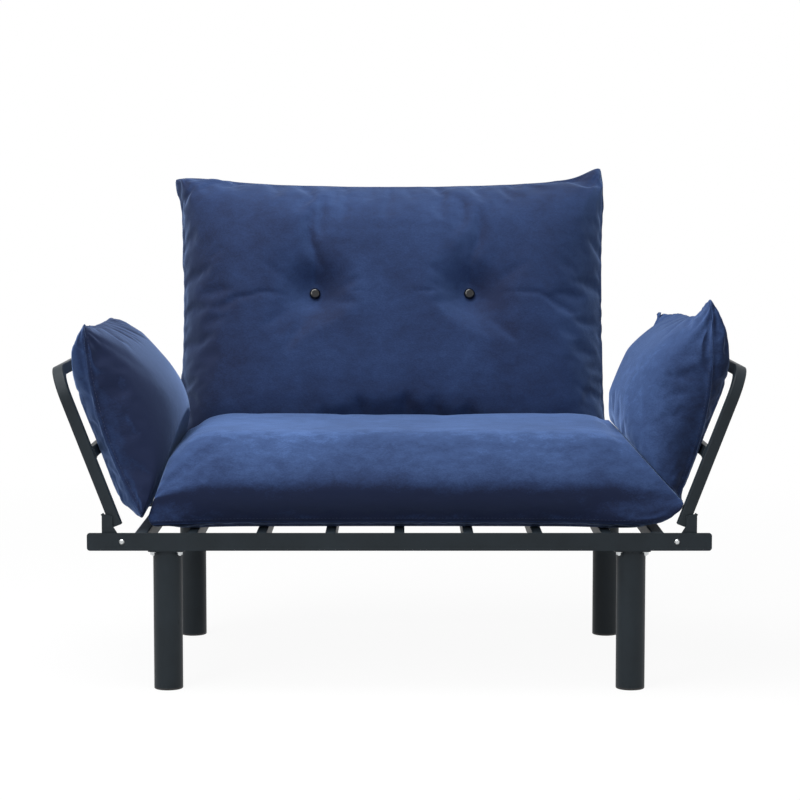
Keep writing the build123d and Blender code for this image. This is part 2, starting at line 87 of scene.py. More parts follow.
def noise(tree, place, sizeMm, detail, roughness, distortion=0.0):
    return addNode(tree, "ShaderNodeTexNoise", {
        "Vector": place, "Scale": 1000 / sizeMm, "Detail": detail, "Roughness": roughness,
        "Distortion": distortion}).outputs["Fac"]


def colourRamp(tree, value, stops):
    ramp = addNode(tree, "ShaderNodeValToRGB", {"Fac": value})
    elements = ramp.color_ramp.elements
    while len(elements) < len(stops):
        elements.new(0.5)
    for element, (position, colour) in zip(elements, stops):
        element.position, element.color = position, linear(colour)
    return ramp.outputs["Color"]


def spanned(tree, value, span):
    # a pattern of 0 to 1 that runs from one value to another instead
    return addNode(tree, "ShaderNodeMapRange", {
        "Value": value, "To Min": span[0], "To Max": span[1]}).outputs[0]


def relief(tree, height, size, **inputs):
    # size: strength, and height in metres
    return addNode(tree, "ShaderNodeBump", {
        "Height": height, "Strength": size[0], "Distance": size[1], **inputs}).outputs[0]


def paint(tree, inputs):
    shader = addNode(tree, "ShaderNodeBsdfPrincipled", inputs)
    addNode(tree, "ShaderNodeOutputMaterial", {"Surface": shader.outputs[0]})


# helpers for pieces and their meshes

def newPiece(name, mesh):
    piece = bpy.data.objects.new(name, mesh)
    scene.collection.objects.link(piece)
    return piece


def bakeMesh(piece):
    graph = bpy.context.evaluated_depsgraph_get()
    mesh = bpy.data.meshes.new_from_object(piece.evaluated_get(graph), depsgraph=graph)
    old = piece.data
    piece.modifiers.clear()
    piece.data = mesh
    bpy.data.meshes.remove(old)


def smoothFaces(piece):
    for polygon in piece.data.polygons:
        polygon.use_smooth = True


def pathMesh(name, paths):
    # each path is (points, closed), and becomes a row of edges
    mesh = bpy.data.meshes.new(name)
    corners, edges = [], []
    for places, closed in paths:
        first = len(corners)
        corners += [tuple(place) for place in places]
        last = len(corners) - 1
        edges += [(i, i + 1) for i in range(first, last)] + ([(last, first)] if closed else [])
    mesh.from_pydata(corners, edges, [])
    return mesh


def nodeTree(name, sizes):
    # a geometry tree with named sizes, its input and output nodes ready to link
    tree = bpy.data.node_groups.new(name, "GeometryNodeTree")
    tree.interface.new_socket("Geometry", in_out="INPUT", socket_type="NodeSocketGeometry")
    tree.interface.new_socket("Geometry", in_out="OUTPUT", socket_type="NodeSocketGeometry")
    for label in sizes:
        tree.interface.new_socket(label, in_out="INPUT", socket_type="NodeSocketFloat")
    return tree, addNode(tree, "NodeGroupInput"), addNode(tree, "NodeGroupOutput")


def beadRow(tree, start, pitch, facets, scale):
    # small round grains in a row along each path
    curve = addNode(tree, "GeometryNodeMeshToCurve", {"Mesh": start.outputs["Geometry"]})
    spots = addNode(tree, "GeometryNodeCurveToPoints", {
        "Curve": curve.outputs[0], "Length": start.outputs[pitch]}, mode="LENGTH")
    grain = addNode(tree, "GeometryNodeMeshUVSphere", {
        "Segments": facets[0], "Rings": facets[1], "Radius": 1.0})
    return addNode(tree, "GeometryNodeInstanceOnPoints", {
        "Points": spots.outputs["Points"], "Instance": grain.outputs["Mesh"],
        "Rotation": spots.outputs["Rotation"], "Scale": scale}).outputs[0]


def endTree(tree, end, geometry, material):
    solid = addNode(tree, "GeometryNodeRealizeInstances", {"Geometry": geometry})
    painted = addNode(tree, "GeometryNodeSetMaterial", {
        "Geometry": solid.outputs[0], "Material": material})
    tree.links.new(painted.outputs[0], end.inputs["Geometry"])
    return tree


def growPiece(name, paths, tree, sizes, body):
    piece = newPiece(name, pathMesh(name, paths))
    modifier = piece.modifiers.new(tree.name, "NODES")
    modifier.node_group = tree
    for socket in tree.interface.items_tree:
        if socket.in_out == "INPUT" and socket.name in sizes:
            modifier[socket.identifier] = sizes[socket.name]
    bakeMesh(piece)
    smoothFaces(piece)
    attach(piece, body)


def points(mesh):
    flat = np.zeros(len(mesh.vertices) * 3)
    mesh.vertices.foreach_get("co", flat)
    return flat.reshape(-1, 3)


def setPoints(mesh, places):
    mesh.vertices.foreach_set("co", places.ravel())
    mesh.update()


def normals(mesh):
    flat = np.zeros(len(mesh.vertices) * 3)
    mesh.vertices.foreach_get("normal", flat)
    return flat.reshape(-1, 3)


def moved(places, matrix):
    matrix = np.array(matrix)
    return places @ matrix[:3, :3].T + matrix[:3, 3]


def smoothStep(low, high, value):
    share = np.clip((value - low) / (high - low), 0, 1)
    return share * share * (3 - 2 * share)


# velvet: short cut pile, lighter or darker where a hand has brushed it, with edges that glow a little from sheen;
# each cushion is also painted lighter or darker by which way its faces turn, as painted light and shade
# light: how light it is on the scale of the stops; the shares: how far patches and fibres change that
velvet = {
    # the lighter stops come from brushed patches and also from painted light on faces turned towards it; the
    # lightest is reached mostly on the seat's painted-light top
    "colours": ("#16203c", "#223357", "#31466f", "#4c689c"),    # deep, middling, brushed, ruffled
    "stops": (0.36, 0.5, 0.66, 0.85),
    "patchMm": 190, "strokeMm": 20, "fibreMm": 2.4,    # real pile is near 0.3 mm, drawn coarser to show
    "light": 0.35, "patchShare": 0.3, "fibreShare": 0.2,
    "combTurn": 0.6, "combStretch": (0.6, 1.0, 1.0),
    "fibreRelief": (0.35, 0.0006), "strokeRelief": (0.3, 0.002),
    "roughness": 0.88, "specular": 0.2, "sheen": 0.8, "sheenRoughness": 0.36, "sheenColour": "#8fabdc",
}
noiseMiddle = 0.5


def makeVelvet():
    material, tree, place = newMaterial("cutPileVelvet")
    combed = addNode(tree, "ShaderNodeMapping", {
        "Vector": place, "Rotation": (0, velvet["combTurn"], 0), "Scale": velvet["combStretch"]}).outputs[0]
    patch = noise(tree, place, velvet["patchMm"], 3.0, 0.55, 0.5)
    stroke = noise(tree, combed, velvet["strokeMm"], 6.0, 0.68, 0.35)
    fibre = noise(tree, combed, velvet["fibreMm"], 2.0, 0.7)
    # set on each cushion: painted light and shade from which way each face turns, and how much the pile is brushed
    # about
    paintedFacingLight = addNode(tree, "ShaderNodeAttribute", attribute_name="toneAndPaintedLight").outputs["Fac"]
    ruffle = addNode(tree, "ShaderNodeAttribute", attribute_name="ruffle").outputs["Fac"]
    toneAndPaintedLight = maths(tree, "MULTIPLY_ADD", patch, velvet["patchShare"], velvet["light"])
    # painted light: faces turned towards the cushion's chosen direction are made lighter here, and those turned
    # away darker
    toneAndPaintedLight = maths(tree, "ADD", toneAndPaintedLight, paintedFacingLight)
    toneAndPaintedLight = maths(tree, "MULTIPLY_ADD", maths(tree, "SUBTRACT", stroke, noiseMiddle), ruffle, toneAndPaintedLight)
    toneAndPaintedLight = maths(tree, "MULTIPLY_ADD", maths(tree, "SUBTRACT", fibre, noiseMiddle), velvet["fibreShare"], toneAndPaintedLight)
    pile = relief(tree, fibre, velvet["fibreRelief"])
    paint(tree, {
        "Base Color": colourRamp(tree, toneAndPaintedLight, list(zip(velvet["stops"], velvet["colours"]))),
        "Roughness": velvet["roughness"], "Specular IOR Level": velvet["specular"],
        "Sheen Weight": velvet["sheen"], "Sheen Roughness": velvet["sheenRoughness"],
        "Sheen Tint": linear(velvet["sheenColour"]),
        "Normal": relief(tree, stroke, velvet["strokeRelief"], Normal=pile)})
    return material


# powder coat on steel: baked plastic skin with a fine orange peel, satin, a little dusty
powderCoat = {
    "colour": "#181f24", "thin": "#1f272d", "stops": (0.3, 0.75), "peelMm": 1.6, "cloudMm": 90,
    "peelRelief": (0.18, 0.0003), "roughness": (0.42, 0.58), "specular": 0.2,
}


def makePowderCoat():
    material, tree, place = newMaterial("satinPowderCoat")
    cloud = noise(tree, place, powderCoat["cloudMm"], 4.0, 0.6)
    peel = noise(tree, place, powderCoat["peelMm"], 1.0, 0.4)
    shades = list(zip(powderCoat["stops"], (powderCoat["colour"], powderCoat["thin"])))
    paint(tree, {
        "Base Color": colourRamp(tree, cloud, shades),
        "Roughness": spanned(tree, cloud, powderCoat["roughness"]),
        "Specular IOR Level": powderCoat["specular"],
        "Normal": relief(tree, peel, powderCoat["peelRelief"])})
    return material


# plated or plain metal: bright crystals too small to see, so only the gloss wanders
metals = {
    "zinc": {
        "name": "brightZincPlate", "colour": "#d3d5d6", "shade": "#b4b8ba",
        "grainMm": 3, "roughness": (0.2, 0.36)},
    "spring_steel": {
        "name": "oiledSpringSteel", "colour": "#84888c", "shade": "#62666a",
        "grainMm": 4, "roughness": (0.28, 0.42)},
}


def makeMetal(metal):
    material, tree, place = newMaterial(metal["name"])
    grain = noise(tree, place, metal["grainMm"], 3.0, 0.6)
    paint(tree, {
        "Base Color": colourRamp(tree, grain, [(0.3, metal["shade"]), (0.7, metal["colour"])]),
        "Metallic": 1.0, "Roughness": spanned(tree, grain, metal["roughness"])})
    return material


# moulded plastic: even colour with a faint spark texture from the mould, drawn coarser than the real one
plastics = {
    "bush": {
        "name": "naturalNylon", "colour": "#dcdbd3", "shade": "#d2d0c6",
        "sparkMm": 1.5, "roughness": 0.5},
    "foot": {
        "name": "blackMouldedFoot", "colour": "#17181a", "shade": "#121314",
        "sparkMm": 1.2, "roughness": 0.55},
    "button": {
        "name": "glossBlackButton", "colour": "#0b0b0d", "shade": "#08080a",
        "sparkMm": 6, "roughness": 0.16},
}
sparkRelief = (0.15, 0.0002)


def makePlastic(plastic):
    material, tree, place = newMaterial(plastic["name"])
    spark = noise(tree, place, plastic["sparkMm"], 2.0, 0.5)
    paint(tree, {
        "Base Color": colourRamp(tree, spark, [(0.35, plastic["shade"]), (0.65, plastic["colour"])]),
        "Roughness": plastic["roughness"], "IOR": 1.5, "Normal": relief(tree, spark, sparkRelief)})
    return material


# waxed thread: two plies show as slanted bands, drawn coarser than the real 2 mm or so
thread = {"dark": "#131b33", "light": "#26355f", "plyMm": 6, "roughness": 0.6}


def makeThread():
    material, tree, place = newMaterial("waxedThread")
    plies = addNode(tree, "ShaderNodeTexWave", {
        "Vector": place, "Scale": 1000 / thread["plyMm"], "Distortion": 1.0}, bands_direction="DIAGONAL")
    shades = [(0.2, thread["dark"]), (0.8, thread["light"])]
    paint(tree, {
        "Base Color": colourRamp(tree, plies.outputs["Fac"], shades), "Roughness": thread["roughness"]})
    return material


finishes = {"velvet": makeVelvet(), "frame_paint": makePowderCoat()}
finishes.update({slot: makeMetal(metal) for slot, metal in metals.items()})
finishes.update({slot: makePlastic(plastic) for slot, plastic in plastics.items()})
finishes["twine"] = makeThread()
for part in frame["record"]["subparts"]:
    nodes[part["node"]].material_slots[0].material = finishes[part["material_slot"]]
print("materials:", len(finishes))


# cushions: the CAD form is remeshed, given ears and blown up as cloth with its seam sewn down
# voxel: size of the mesh; cap: how far the cloth may move from its form; fill: how firmly it is stuffed
# edge: level of the widest outline at the foot and the head; sewn: the same for the seam, and its dip between
# sag: how far the head droops between its ears; painted light: faces turned this way are painted lighter and those
# turned away painted darker, standing in for the light that falls on them
# dome: how full it stays, how much thinner towards the head, from where, and towards its sides
# ears: corner (across, along), how far its point is pulled, spread; one without a pull only gathers folds
cushions = {
    "seat": {
        "node": "seat_cushion", "body": "base", "voxel": 0.0085, "smoothing": 10, "cap": 0.008, "fill": 0.7,
        "edge": (0.036, 0.036), "sewn": (0.014, 0.014, 0), "tufts": [], "sag": 0, "dome": (1, 0, 0, 0),
        "toneAndPaintedLight": (0, 0.08, 0.24), "ruffle": 0.36, "gather": 0.6,
        "ears": [
            ((-1, -1), (-0.042, -0.002, -0.004), 1),
            ((1, -1), (0.032, -0.002, 0.014), 1),
            ((-1, 1), (0, 0, 0), 1)]},
    "leftArm": {
        "node": "left_arm_cushion", "body": "left_arm",
        "voxel": 0.007, "smoothing": 14, "cap": 0.007, "fill": 0.75,
        "edge": (0.041, 0.072), "sewn": (0.041, 0.072, 0.03), "tufts": [], "sag": 0,
        "dome": (1.02, 0.35, 0.22, 0.42), "toneAndPaintedLight": (-0.24, 0.08, -0.12), "ruffle": 0.24, "gather": 0.6,
        "ears": [
            ((1, 1), (0.006, -0.03, 0), 1.3),
            ((-1, 1), (-0.006, 0, 0), 1),
            ((-1, -1), (-0.008, -0.006, 0), 1)]},
    "rightArm": {
        "node": "right_arm_cushion", "body": "right_arm",
        "voxel": 0.007, "smoothing": 14, "cap": 0.007, "fill": 0.8,
        "edge": (0.014, 0.1), "sewn": (0.014, 0.1, 0.036), "tufts": [], "sag": 0.024,
        "dome": (1.08, 0.45, 0.3, 0.38), "toneAndPaintedLight": (-0.15, 0, 0.03), "ruffle": 0.34, "gather": 1.2,
        "ears": [
            ((-1, 1), (-0.006, -0.05, 0.02), 2.2),
            ((-1, 1), (-0.004, 0.005, 0.006), 1.4),
            ((1, 1), (0.006, 0.022, 0), 1),
            ((1, -1), (0.008, -0.006, 0), 1)]},
    "back": {
        "node": "back_cushion", "body": "back", "voxel": 0.0085, "smoothing": 10, "cap": 0.014, "fill": 0.7,
        "edge": (0.067, 0.067), "sewn": (0.067, 0.067, 0), "tufts": [(-0.17, 0.433), (0.17, 0.433)],
        "sag": 0.016, "dome": (1, 0, 0, 0), "toneAndPaintedLight": (0.2, 0.03, -0.02), "ruffle": 0.2, "gather": 0.6,
        "ears": [
            ((-1, 1), (-0.012, -0.006, 0), 1),
            ((1, 1), (-0.006, 0.02, 0), 1)]},
}
armLean, backLean = math.radians(21), math.radians(14)

# what all four share; restGap: how far a cushion's base stands off its frame
# sewnBand: half height of the row that is sewn down, in voxels
# baseSkin and tuftHold: the cloth is also held below this level and within this reach of a tuft
# roomShare: how much of the space to its neighbours it takes, less roomGap, seen up to roomReach caps away
cushionRules = {
    "restGap": 0.0113, "earSpread": (0.05, 0.05, 0.04), "sagRun": 0.14, "relax": 0.5,
    "sewnBand": 0.75, "baseSkin": 0.002, "tuftHold": 0.015,
    "roomReach": 2.2, "roomShare": 0.5, "roomGap": 0.0004, "deflate": 0.004, "settle": (0.4, 2),
    "frames": 20, "quality": 5, "mass": 0.25, "pressure": 4.0, "slack": -0.035,
    "tension": 12.0, "shear": 4.0, "bending": 0.6,
}

# creases: each arm cushion and the end of the seat press each other flat along a plane
# start: where along the arm, and how far out, the plane begins; slope: how far out it goes per step along
# bow: how much deeper the seat pushes in at its middle; press: how far each would bulge over it if left alone
# soft and hard: how gently a form turns into the plane before and after it is blown up
creases = {
    "leftArm": {"start": (0.029, 0.054), "slope": 0.82},
    "rightArm": {"start": (0.076, 0.004), "slope": 2.05},
    "gap": 0.0014, "soft": 0.014, "hard": 0.001, "press": 0.012,
    "bow": 0.007, "middle": -0.11, "half": 0.29,
}

# how the seat swells against the arms (left, right), rounds off at its shoulders and rolls over at its front
seatForm = {
    "swell": (0.085, 0.115), "swellFrom": (0.2, 0.4), "swellRise": ((0, 0.075), (0.02, 0.1)),
    "shoulder": (0.042, 0.016), "shoulderFrom": (0.355, 0.47), "shoulderMost": 1.2,
    "shoulderRise": (0.05, 0.14), "frontRun": 0.14, "frontEnds": (0.3, 0.48),
    "roll": 0.014, "rollRise": (0.03, 0.16), "tuck": 0.034, "tuckRise": 0.1,
}


def framePlace(name):
    # columns: across, along and out of the frame that carries the cushion, from the middle of its hinge
    if name == "seat":
        across, out = Vector((1, 0, 0)), Vector((0, 0, 1))
        origin = Vector((0, 0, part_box("seat_cushion")[0].z))
    elif name == "back":
        across, out = Vector((1, 0, 0)), Vector((0, -math.cos(backLean), math.sin(backLean)))
        origin = pivots["back_recline"]
    else:
        side = -1 if name == "leftArm" else 1
        across, out = Vector((0, -side, 0)), Vector((-side * math.cos(armLean), 0, math.sin(armLean)))
        origin = pivots["left_arm_fold" if side < 0 else "right_arm_fold"]
    matrix = Matrix((across, out.cross(across), out)).transposed().to_4x4()
    matrix.translation = origin
    return matrix


def cushionPlace(name):
    # the same axes, with the origin where the cushion's own base lies
    matrix = framePlace(name)
    if name != "seat":
        across, out = matrix.col[0].xyz, matrix.col[2].xyz
        low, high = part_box(cushions[name]["node"])
        middle = ((low + high) / 2 - matrix.translation).dot(across)
        matrix.translation = matrix.translation + across * middle + out * cushionRules["restGap"]
    return matrix


def outerShell(node):
    # the cushion's outer skin, without the hollow inside
    shell = bmesh.new()
    shell.from_mesh(nodes[node].data)
    bmesh.ops.remove_doubles(shell, verts=shell.verts, dist=1e-5)
    islands, seen = [], set()
    for start in shell.verts:
        if start in seen:
            continue
        island, queue = [], [start]
        seen.add(start)
        while queue:
            vert = queue.pop()
            island.append(vert)
            for edge in vert.link_edges:
                other = edge.other_vert(vert)
                if other not in seen:
                    seen.add(other)
                    queue.append(other)
        islands.append(island)
    islands.sort(key=lambda island: max(v.co.z for v in island) - min(v.co.z for v in island))
    for island in islands[:-1]:
        bmesh.ops.delete(shell, geom=island, context="VERTS")
    mesh = bpy.data.meshes.new(node + "Shell")
    shell.to_mesh(mesh)
    shell.free()
    return mesh


shells = {name: outerShell(cushion["node"]) for name, cushion in cushions.items()}


def neighbourTrees(name):
    meshes = [mesh for other, mesh in shells.items() if other != name]
    soft = ("_cushion", "_buttons", "_twines")
    meshes += [piece.data for node, piece in nodes.items() if not node.endswith(soft)]
    for mesh in meshes:
        corners = points(mesh)
        tree = BVHTree.FromPolygons(corners.tolist(), [p.vertices[:] for p in mesh.polygons])
        yield tree, corners.min(0), corners.max(0)


def roomAround(name, places, most):
    # how far each point is from whatever stands next to the cushion, up to a limit
    room = np.full(len(places), most)
    for tree, low, high in neighbourTrees(name):
        near = ((places > low - most) & (places < high + most)).all(1)
        for i in np.flatnonzero(near):
            found = tree.find_nearest(Vector(places[i]), room[i])
            if found[0] is not None:
                room[i] = min(room[i], found[3])
    return room


def edgeLevel(name, local, low, high):
    foot, head = cushions[name]["edge"]
    return foot + (head - foot) * np.clip((local[:, 1] - low) / (high - low), 0, 1)


def seamLevel(name, local, low, high):
    foot, head, dip = cushions[name]["sewn"]
    share = np.clip((local[:, 1] - low) / (high - low), 0, 1)
    return foot + (head - foot) * share - dip * 4 * share * (1 - share)


def cornerOf(least, most, across, along):
    return least[0] if across < 0 else most[0], least[1] if along < 0 else most[1]


def pullEars(cushion, local, least, most):
    # the sewn corners stand out in points
    shift = np.zeros_like(local)
    for (across, along), pull, spread in cushion["ears"]:
        level = cushion["edge"][0 if along < 0 else 1]
        corner = np.array([*cornerOf(least, most, across, along), level])
        weight = np.exp(-(((local - corner) / np.array(cushionRules["earSpread"]) / spread) ** 2).sum(1))
        shift += weight[:, None] * np.array(pull)
    return shift


def drawIn(name, local, least, most, shift):
    # the head sags between its ears, and the face gets thinner towards the head and the sides
    cushion = cushions[name]
    aside = (local[:, 0] - (least[0] + most[0]) / 2) / (most[0] - least[0]) * 2
    nearHead = np.exp(-((most[1] - local[:, 1]) / cushionRules["sagRun"]) ** 2)
    shift[:, 1] -= cushion["sag"] * (1 - aside ** 4) * nearHead
    full, thinner, start, sides = cushion["dome"]
    rise = np.maximum(local[:, 2] - edgeLevel(name, local, least[1], most[1]), 0)
    fullness = full * (1 - thinner * smoothStep(start, most[1], local[:, 1])) * (1 - sides * aside ** 2)
    shift[:, 2] -= rise * (1 - fullness)


def swellSeat(local, least, shift):
    form, left, side, rise = seatForm, local[:, 0] < 0, abs(local[:, 0]), local[:, 2]
    swell = [reach * smoothStep(*run, rise) for reach, run in zip(form["swell"], form["swellRise"])]
    shift[:, 0] += np.sign(local[:, 0]) * np.where(left, *swell) * smoothStep(*form["swellFrom"], side)
    start, stop = form["shoulderFrom"]
    outer = np.clip((side + abs(shift[:, 0]) - start) / (stop - start), 0, form["shoulderMost"])
    shift[:, 2] -= np.where(left, *form["shoulder"]) * outer ** 2 * smoothStep(*form["shoulderRise"], rise)
    front = 1 - smoothStep(0, form["frontRun"], local[:, 1] - least[1])
    inner = 1 - smoothStep(*form["frontEnds"], side)
    low, high = form["rollRise"]
    roll = np.sin(math.pi * np.clip((rise - low) / (high - low), 0, 1))
    tuck = 1 - smoothStep(0, form["tuckRise"], rise)
    shift[:, 1] += front * inner * (form["tuck"] * tuck - form["roll"] * roll)


def overCrease(arm, places):
    # how far points stand beyond the arm's crease plane, out of the arm's frame
    local = moved(places, cushionPlace(arm).inverted())
    start, level = creases[arm]["start"]
    depth = np.clip(abs(places[:, 1] - creases["middle"]) / creases["half"], 0, 1)
    plane = level + (local[:, 1] - start) * creases[arm]["slope"] - creases["bow"] * (1 - depth ** 2)
    return local[:, 2] - np.maximum(plane, level)


def keepApart(name, places, soft, allow=0):
    places = places.copy()
    if name in creases:
        over = overCrease(name, places) + creases["gap"] - allow
        places -= np.outer(soft * np.logaddexp(0, over / soft), cushionPlace(name).col[2].xyz)
    if name == "seat":
        for arm, side in (("leftArm", -1), ("rightArm", 1)):
            under = creases["gap"] - overCrease(arm, places) - allow
            turn = math.cos(armLean) + math.sin(armLean) * creases[arm]["slope"]
            places[:, 0] -= side * soft * np.logaddexp(0, under / soft) / turn
    return places


def blowUp(piece, held):
    rules = cushionRules
    group = piece.vertex_groups.new(name="sewn")
    group.add(np.flatnonzero(held).tolist(), 1.0, "REPLACE")
    cloth = piece.modifiers.new("stuffing", "CLOTH")
    settings = cloth.settings
    settings.quality = rules["quality"]
    settings.mass = rules["mass"]
    settings.tension_stiffness = settings.compression_stiffness = rules["tension"]
    settings.shear_stiffness = rules["shear"]
    settings.bending_stiffness = rules["bending"]
    settings.use_pressure = True
    settings.uniform_pressure_force = rules["pressure"]
    settings.shrink_min = rules["slack"]
    settings.vertex_group_mass = "sewn"
    settings.effector_weights.gravity = 0
    cloth.collision_settings.use_collision = False
    cloth.point_cache.frame_end = rules["frames"] + 1
    for number in range(1, rules["frames"] + 1):
        scene.frame_set(number)
    bakeMesh(piece)
    scene.frame_set(1)


# gathers: shallow folds that start at the seam, fans of folds at the ears, and the pleats at a tuft
# base, fanBase and front: nothing is folded below these levels; mitre: seam folds fade out this near a corner
# pleatStart and sideStart: how far from the tuft a pleat begins, and the run in which it gets its full depth
gathers = {
    "seed": 11, "depth": 0.0022, "lengths": (0.041, 0.027, 0.019), "wander": 0.11,
    "reach": 0.036, "start": 0.006, "mitre": 0.03, "base": 0.004,
    "fanDepth": 0.0045, "fanReach": 0.12, "fanStart": 0.03, "fanFolds": 11, "fanBase": 0.01,
    "front": 0.08, "pleatWidth": 0.006, "pleatReach": 0.05, "pleatDepth": 0.01, "pleatStart": (0.008, 0.012),
    "sideDepth": 0.002, "sideStart": (0.014, 0.012), "sideTop": 0.01, "sideSlopes": (-0.45, 0.45, 2.2, -2.2),
    "tuftFloor": 0.1345, "tuftSeat": 0.0125, "tuftRun": 0.07,
}


def seamFolds(name, local, least, most, draw):
    toSide = np.minimum(local[:, 0] - least[0], most[0] - local[:, 0])
    toEnd = np.minimum(local[:, 1] - least[1], most[1] - local[:, 1])
    run = np.where(toSide < toEnd, local[:, 1], local[:, 0])
    away = abs(local[:, 2] - seamLevel(name, local, least[1], most[1]))
    wave = 0
    for length in gathers["lengths"]:
        phase = 2 * math.pi * (run / length + draw.random())
        wave = wave + np.cos(phase + 2 * np.sin(run / gathers["wander"] + 6 * draw.random()))
    wave = wave / len(gathers["lengths"])
    fade = np.exp(-(away / gathers["reach"]) ** 2) * (1 - np.exp(-(away / gathers["start"]) ** 2))
    fade *= np.tanh(abs(toSide - toEnd) / gathers["mitre"]) * (local[:, 2] > gathers["base"])
    return gathers["depth"] * cushions[name]["gather"] * (0.5 - 0.5 * wave) * fade


def earFans(name, local, least, most, draw):
    above = local[:, 2] > gathers["fanBase"]
    for corner, *_ in cushions[name]["ears"]:
        cornerX, cornerY = cornerOf(least, most, *corner)
        x, y = local[:, 0] - cornerX, local[:, 1] - cornerY
        turn, reach = np.arctan2(abs(y), abs(x)), np.hypot(x, y)
        fan = np.exp(-(reach / gathers["fanReach"]) ** 2) * (1 - np.exp(-(reach / gathers["fanStart"]) ** 2))
        ripple = np.cos(gathers["fanFolds"] * turn + 2 * np.sin(5 * turn + 6 * draw.random()))
        yield gathers["fanDepth"] * cushions[name]["gather"] * (0.5 - 0.5 * ripple) * fan * above


def tuftPleats(name, local):
    # a deep pleat straight up from each tuft, and shallow ones down and to the sides
    front = local[:, 2] > gathers["front"]
    for across, along in cushions[name]["tufts"]:
        x, y = local[:, 0] - across, local[:, 1] - along
        start, run = gathers["pleatStart"]
        above = np.exp(-(x / gathers["pleatWidth"]) ** 2 - (np.maximum(y, 0) / gathers["pleatReach"]) ** 2)
        yield gathers["pleatDepth"] * above * np.clip((y - start) / run, 0, 1) * front
        start, run = gathers["sideStart"]
        reach, below = np.hypot(x, y), y < gathers["sideTop"]
        for slope in gathers["sideSlopes"]:
            line = (y + slope * x) / math.hypot(1, slope)
            fold = np.exp(-(line / gathers["pleatWidth"]) ** 2 - (reach / gathers["pleatReach"]) ** 2)
            yield gathers["sideDepth"] * fold * np.clip((reach - start) / run, 0, 1) * below * front


def foldSkin(name, mesh, place):
    local = moved(points(mesh), place.inverted())
    least, most = local.min(0), local.max(0)
    draw = np.random.default_rng(gathers["seed"])
    inward = seamFolds(name, local, least, most, draw)
    for fold in earFans(name, local, least, most, draw):
        inward += fold
    for fold in tuftPleats(name, local):
        inward += fold
    setPoints(mesh, points(mesh) - normals(mesh) * inward[:, None])

    # the skin sinks to the button in a smooth funnel
    local = moved(points(mesh), place.inverted())
    for across, along in cushions[name]["tufts"]:
        reach = np.hypot(local[:, 0] - across, local[:, 1] - along)
        ring = np.clip((reach - gathers["tuftSeat"]) / gathers["tuftRun"], 0, 1)
        rise = local[:, 2] - gathers["tuftFloor"]
        sunk = gathers["tuftFloor"] + rise * (1 - (1 - ring) ** 2)
        local[:, 2] = np.where(rise > 0, sunk, local[:, 2])
    setPoints(mesh, moved(local, place))


def layPileAndPaintedLight(name, mesh):
    # the velvet reads these two: painted light and shade from which way each point faces, and how much the pile is
    # brushed about
    toneAndPaintedLight = normals(mesh) @ np.array(cushions[name]["toneAndPaintedLight"])
    mesh.attributes.new("toneAndPaintedLight", "FLOAT", "POINT").data.foreach_set("value", toneAndPaintedLight)
    ruffle = np.full(len(mesh.vertices), cushions[name]["ruffle"])
    mesh.attributes.new("ruffle", "FLOAT", "POINT").data.foreach_set("value", ruffle)


def makeCushion(name):
    cushion, rules, place = cushions[name], cushionRules, cushionPlace(name)
    piece = newPiece(name + "Cushion", shells[name].copy())
    remesh = piece.modifiers.new("voxels", "REMESH")
    remesh.mode, remesh.voxel_size = "VOXEL", cushion["voxel"]
    relax = piece.modifiers.new("relax", "SMOOTH")
    relax.factor, relax.iterations = rules["relax"], cushion["smoothing"]
    bakeMesh(piece)

    # its form before it is blown up
    local = moved(points(piece.data), place.inverted())
    least, most = local.min(0), local.max(0)
    fromSeam = abs(local[:, 2] - seamLevel(name, local, least[1], most[1]))
    held = (fromSeam < cushion["voxel"] * rules["sewnBand"]) | (local[:, 2] < rules["baseSkin"])
    shift = pullEars(cushion, local, least, most)
    drawIn(name, local, least, most, shift)
    if name == "seat":
        swellSeat(local, least, shift)
    local = local + shift
    for across, along in cushion["tufts"]:
        held |= np.hypot(local[:, 0] - across, local[:, 1] - along) < rules["tuftHold"]
    shape = keepApart(name, moved(local, place), creases["soft"], creases["press"])
    room = roomAround(name, shape, rules["roomReach"] * cushion["cap"])
    limit = np.clip(room * rules["roomShare"] - rules["roomGap"], 0, cushion["cap"])
    setPoints(piece.data, shape)
    setPoints(piece.data, shape - normals(piece.data) * np.where(held, 0, rules["deflate"])[:, None])

    blowUp(piece, held)
    move = points(piece.data) - shape
    length = np.linalg.norm(move, axis=1)
    keep = np.minimum(1, limit / np.maximum(length, 1e-9))
    setPoints(piece.data, shape + move * keep[:, None])

    settle = piece.modifiers.new("settle", "SMOOTH")
    settle.factor, settle.iterations = rules["settle"]
    finer = piece.modifiers.new("finer", "SUBSURF")
    finer.levels = finer.render_levels = 1
    bakeMesh(piece)
    piece.vertex_groups.clear()
    foldSkin(name, piece.data, place)
    layPileAndPaintedLight(name, piece.data)
    setPoints(piece.data, keepApart(name, points(piece.data), creases["hard"]))
    smoothFaces(piece)
    piece.data.materials.clear()
    piece.data.materials.append(finishes["velvet"])
    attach(piece, cushion["body"])
    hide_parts(cushion["node"])
    print("cushion:", name, len(piece.data.vertices), "points")
    return piece


cushionPieces = {name: makeCushion(name) for name in cushions}


# seams: a folded edge all round each cushion, with a row of stitches beside it
seams = {
    "weltSizes": {"Edge Step": 0.006, "Edge Radius": 0.001},
    "stitchSizes": {"Stitch Pitch": 0.0075, "Stitch Length": 0.0026, "Stitch Radius": 0.0004},
    "weltFacets": 6, "stitchFacets": (6, 4), "stitchRise": 0.007, "smoothing": 3,
}


